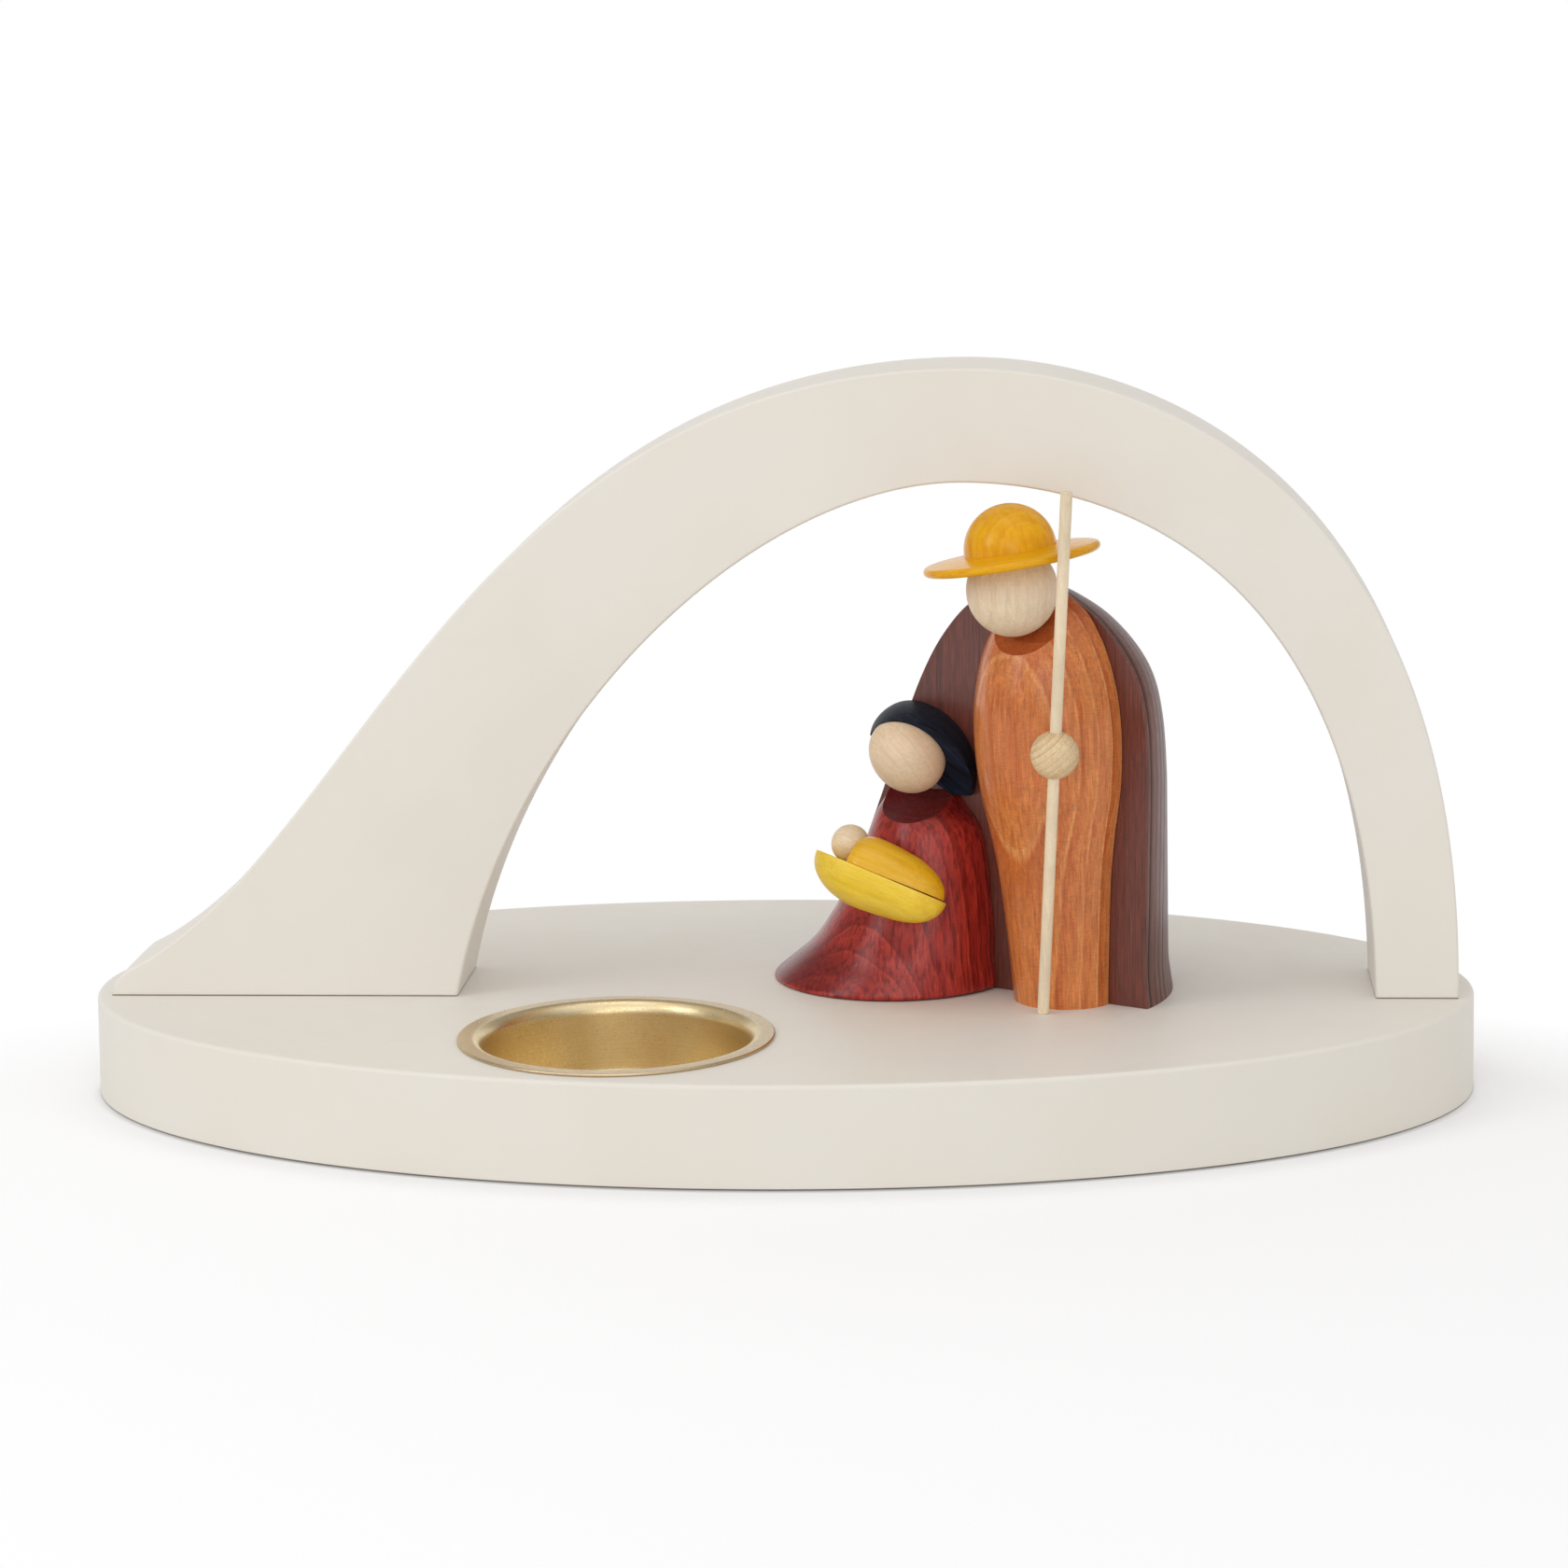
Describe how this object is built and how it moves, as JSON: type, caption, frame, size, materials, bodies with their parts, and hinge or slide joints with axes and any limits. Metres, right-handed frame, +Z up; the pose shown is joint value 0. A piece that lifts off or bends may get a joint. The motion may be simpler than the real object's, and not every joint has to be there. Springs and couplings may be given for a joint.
{
  "type": "nativity tealight holder",
  "caption": "Oval lacquered tealight base with a swept arch over turned, half-round nativity figures, and a lift-out metal cup.",
  "frame": {"origin": "middle of the base's underside", "axes": "+X along the base's long way, towards the arch's upright leg; -Y towards the cup and the front; +Z up"},
  "size_m": [0.2172, 0.1246, 0.1139],
  "materials": {
    "cream_lacquer": "smooth matte cream lacquer on wood",
    "cup_brass": "satin, champagne tone",
    "brown_stain": "matt dark brown stain, grain showing",
    "orange_stain": "semi-gloss orange-brown stain, grain showing",
    "red_stain": "glossy dark red stain, grain showing",
    "navy_stain": "semi-gloss navy stain",
    "yellow_stain": "semi-gloss golden yellow stain",
    "lemon_stain": "semi-gloss lemon yellow stain",
    "pale_wood": "natural pale wood, waxed",
    "beech": "plain beech, hidden"
  },
  "bodies": {
    "holder": {"base_plate": "cream_lacquer", "arch": "cream_lacquer", "cloak": "brown_stain", "man_body": "orange_stain", "man_head": "pale_wood", "hat_brim": "yellow_stain", "hat_crown": "yellow_stain", "staff": "pale_wood", "hand_ball": "pale_wood", "woman_robe": "red_stain", "woman_head": "pale_wood", "headscarf": "navy_stain", "cradle": "lemon_stain", "child_body": "yellow_stain", "child_head": "pale_wood", "dowel_left_1": "beech", "dowel_left_2": "beech", "dowel_right_1": "beech", "dowel_right_2": "beech", "dowel_cloak_1": "beech", "dowel_cloak_2": "beech"},
    "cup": {"tealight_cup": "cup_brass"}
  },
  "joints": [
    {"name": "cup_lift", "type": "slide", "parent": "holder", "child": "cup", "axis": [0, 0, 1], "range_m": [0, 0.04]}
  ]
}
